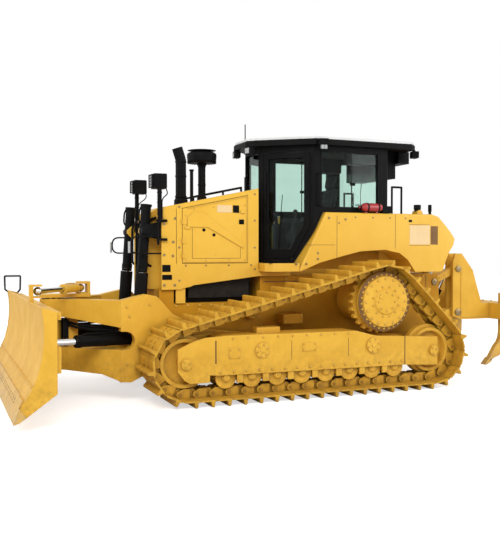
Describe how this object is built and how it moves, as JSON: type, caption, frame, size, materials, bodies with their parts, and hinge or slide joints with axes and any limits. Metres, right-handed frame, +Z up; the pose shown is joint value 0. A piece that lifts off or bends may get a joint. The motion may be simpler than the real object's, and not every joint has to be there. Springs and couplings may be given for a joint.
{
  "type": "crawler bulldozer with ripper",
  "caption": "Elevated-sprocket crawler dozer with enclosed cab, power-angle-tilt blade on an inner C-frame and a parallelogram ripper with shanks.",
  "frame": {"origin": "on the ground under the middle of the overall box: halfway along the length and across the width, Z = 0 at the track lugs' tips", "axes": "+X forward (blade), +Y to the machine's left, +Z up"},
  "size_m": [7.15, 3.66, 3.425],
  "materials": {
    "yellow_paint": "satin",
    "black_paint": "satin",
    "track_steel": "worn",
    "engine_black": "matt",
    "chrome": "polished",
    "clear_glass": "gloss",
    "seat_trim": "matt",
    "red_paint": "gloss",
    "worn_edge": "worn",
    "control_plastic": "matt"
  },
  "bodies": {
    "tractor": {"main_frame": "yellow_paint", "engine_block": "engine_black", "radiator_guard": "yellow_paint", "front_grille": "engine_black", "hood": "yellow_paint", "exhaust_stack": "black_paint", "precleaner": "black_paint", "front_lamps": "black_paint", "platform": "yellow_paint", "fenders": "yellow_paint", "cab_frame": "black_paint", "cab_glass": "clear_glass", "cab_roof": "black_paint", "roof_lamps": "black_paint", "operator_seat": "seat_trim", "console": "control_plastic", "extinguisher": "red_paint", "handrails": "yellow_paint", "track_frames": "yellow_paint", "tracks": "track_steel", "final_drives": "yellow_paint", "idlers_rollers": "track_steel"},
    "blade_frame": {"c_frame": "yellow_paint"},
    "swivel": {"swivel_yoke": "yellow_paint"},
    "blade": {"mouldboard": "yellow_paint", "cutting_edge": "worn_edge"},
    "lift_left_barrel": {"lift_left_barrel": "black_paint"},
    "lift_left_rod": {"lift_left_rod": "chrome", "lift_left_guard": "black_paint"},
    "angle_left_barrel": {"angle_left_barrel": "black_paint"},
    "angle_left_rod": {"angle_left_rod": "chrome"},
    "lift_right_barrel": {"lift_right_barrel": "black_paint"},
    "lift_right_rod": {"lift_right_rod": "chrome", "lift_right_guard": "black_paint"},
    "angle_right_barrel": {"angle_right_barrel": "black_paint"},
    "angle_right_rod": {"angle_right_rod": "chrome"},
    "tilt_barrel": {"tilt_barrel": "yellow_paint"},
    "tilt_rod": {"tilt_rod": "chrome"},
    "ripper_lower": {"ripper_lower_link": "yellow_paint"},
    "ripper_upper": {"ripper_upper_link": "yellow_paint"},
    "ripper": {"ripper_frame": "yellow_paint", "ripper_shanks": "worn_edge"},
    "ripper_left_barrel": {"ripper_left_barrel": "black_paint"},
    "ripper_left_rod": {"ripper_left_rod": "chrome"},
    "ripper_right_barrel": {"ripper_right_barrel": "black_paint"},
    "ripper_right_rod": {"ripper_right_rod": "chrome"},
    "cab_door_left": {"door_left": "black_paint", "door_glass_left": "clear_glass"},
    "engine_side_left": {"engine_door_left": "yellow_paint"},
    "cab_door_right": {"door_right": "black_paint", "door_glass_right": "clear_glass"},
    "engine_side_right": {"engine_door_right": "yellow_paint"}
  },
  "joints": [
    {"name": "blade_lift", "type": "hinge", "parent": "tractor", "child": "blade_frame", "pos_m": [0.17, 0, 0.56], "axis": [0, -1, 0], "range_deg": [-7, 14]},
    {"name": "blade_angle", "type": "hinge", "parent": "blade_frame", "child": "swivel", "pos_m": [2.96, 0, 0.7], "axis": [0, 0, 1], "range_deg": [-25, 25]},
    {"name": "blade_tilt", "type": "hinge", "parent": "swivel", "child": "blade", "pos_m": [3.16, 0, 0.7], "axis": [1, 0, 0], "range_deg": [-8, 8]},
    {"name": "lift_left_barrel_turn", "type": "hinge", "parent": "tractor", "child": "lift_left_barrel", "pos_m": [1.907, 0.39, 2], "axis": [0, -1, 0], "range_deg": [-8.37, 4.69]},
    {"name": "lift_left_rod_slide", "type": "slide", "parent": "lift_left_barrel", "child": "lift_left_rod", "axis": [0.0698, 0, -0.9976], "range_m": [-0.4285, 0.2168]},
    {"name": "angle_left_barrel_turn", "type": "hinge", "parent": "blade_frame", "child": "angle_left_barrel", "pos_m": [2, 0.405, 0.705], "axis": [0, 0, 1], "range_deg": [-10.15, 10.15]},
    {"name": "angle_left_rod_slide", "type": "slide", "parent": "angle_left_barrel", "child": "angle_left_rod", "axis": [0.947, 0.3197, 0.0324], "range_m": [-0.3036, 0.3036]},
    {"name": "lift_right_barrel_turn", "type": "hinge", "parent": "tractor", "child": "lift_right_barrel", "pos_m": [1.907, -0.39, 2], "axis": [0, -1, 0], "range_deg": [-8.37, 4.69]},
    {"name": "lift_right_rod_slide", "type": "slide", "parent": "lift_right_barrel", "child": "lift_right_rod", "axis": [0.0698, 0, -0.9976], "range_m": [-0.4285, 0.2168]},
    {"name": "angle_right_barrel_turn", "type": "hinge", "parent": "blade_frame", "child": "angle_right_barrel", "pos_m": [2, -0.405, 0.705], "axis": [0, 0, 1], "range_deg": [-10.15, 10.15]},
    {"name": "angle_right_rod_slide", "type": "slide", "parent": "angle_right_barrel", "child": "angle_right_rod", "axis": [0.947, -0.3197, 0.0324], "range_m": [-0.3036, 0.3036]},
    {"name": "tilt_barrel_turn", "type": "hinge", "parent": "swivel", "child": "tilt_barrel", "pos_m": [2.61, 0, 1.31], "axis": [0.7171, -0.5489, -0.4294], "range_deg": [-8.03, 8.03]},
    {"name": "tilt_rod_slide", "type": "slide", "parent": "tilt_barrel", "child": "tilt_rod", "axis": [0.6048, 0.7963, 0.0081], "range_m": [-0.0728, 0.0728]},
    {"name": "ripper_lift", "type": "hinge", "parent": "tractor", "child": "ripper_lower", "pos_m": [-2.265, 0, 0.7], "axis": [0, 1, 0], "range_deg": [-55, 8]},
    {"name": "ripper_upper_turn", "type": "hinge", "parent": "tractor", "child": "ripper_upper", "pos_m": [-2.265, 0, 1.32], "axis": [0, 1, 0], "range_deg": [-56, 9]},
    {"name": "ripper_level", "type": "hinge", "parent": "ripper_lower", "child": "ripper", "pos_m": [-2.675, 0, 0.88], "axis": [0, 1, 0], "range_deg": [-9, 56]},
    {"name": "ripper_left_barrel_turn", "type": "hinge", "parent": "tractor", "child": "ripper_left_barrel", "pos_m": [-2.26, 0.18, 0.76], "axis": [0, 1, 0], "range_deg": [-19.78, 3.73]},
    {"name": "ripper_left_rod_slide", "type": "slide", "parent": "ripper_left_barrel", "child": "ripper_left_rod", "axis": [-0.4815, 0, 0.8764], "range_m": [-0.341, 0.0539]},
    {"name": "ripper_right_barrel_turn", "type": "hinge", "parent": "tractor", "child": "ripper_right_barrel", "pos_m": [-2.26, -0.18, 0.76], "axis": [0, 1, 0], "range_deg": [-19.78, 3.73]},
    {"name": "ripper_right_rod_slide", "type": "slide", "parent": "ripper_right_barrel", "child": "ripper_right_rod", "axis": [-0.4815, 0, 0.8764], "range_m": [-0.341, 0.0539]},
    {"name": "cab_door_left_swing", "type": "hinge", "parent": "tractor", "child": "cab_door_left", "pos_m": [-0.15732, 0.7105, 2.5], "axis": [0, 0, 1], "range_deg": [0, 75]},
    {"name": "engine_door_left_swing", "type": "hinge", "parent": "tractor", "child": "engine_side_left", "pos_m": [1.47, 0.533, 2], "axis": [0, 0, -1], "range_deg": [0, 85]},
    {"name": "cab_door_right_swing", "type": "hinge", "parent": "tractor", "child": "cab_door_right", "pos_m": [-0.15732, -0.7105, 2.5], "axis": [0, 0, -1], "range_deg": [0, 75]},
    {"name": "engine_door_right_swing", "type": "hinge", "parent": "tractor", "child": "engine_side_right", "pos_m": [1.47, -0.533, 2], "axis": [0, 0, 1], "range_deg": [0, 85]}
  ],
  "couplings": [
    {"joint": "lift_left_barrel_turn", "follows": "blade_lift", "ratio": -0.52671},
    {"joint": "lift_left_rod_slide", "follows": "blade_lift", "m_per_rad": -1.7333},
    {"joint": "angle_left_barrel_turn", "follows": "blade_angle", "ratio": 0.36614},
    {"joint": "angle_left_rod_slide", "follows": "blade_angle", "m_per_rad": -0.68445},
    {"joint": "lift_right_barrel_turn", "follows": "blade_lift", "ratio": -0.52671},
    {"joint": "lift_right_rod_slide", "follows": "blade_lift", "m_per_rad": -1.7333},
    {"joint": "angle_right_barrel_turn", "follows": "blade_angle", "ratio": 0.36614},
    {"joint": "angle_right_rod_slide", "follows": "blade_angle", "m_per_rad": 0.68445},
    {"joint": "tilt_barrel_turn", "follows": "blade_tilt", "ratio": 0.87869},
    {"joint": "tilt_rod_slide", "follows": "blade_tilt", "m_per_rad": -0.48584},
    {"joint": "ripper_upper_turn", "follows": "ripper_lift", "ratio": 1},
    {"joint": "ripper_level", "follows": "ripper_lift", "ratio": -1},
    {"joint": "ripper_left_barrel_turn", "follows": "ripper_lift", "ratio": 0.34149},
    {"joint": "ripper_left_rod_slide", "follows": "ripper_lift", "m_per_rad": 0.35002},
    {"joint": "ripper_right_barrel_turn", "follows": "ripper_lift", "ratio": 0.34149},
    {"joint": "ripper_right_rod_slide", "follows": "ripper_lift", "m_per_rad": 0.35002}
  ]
}
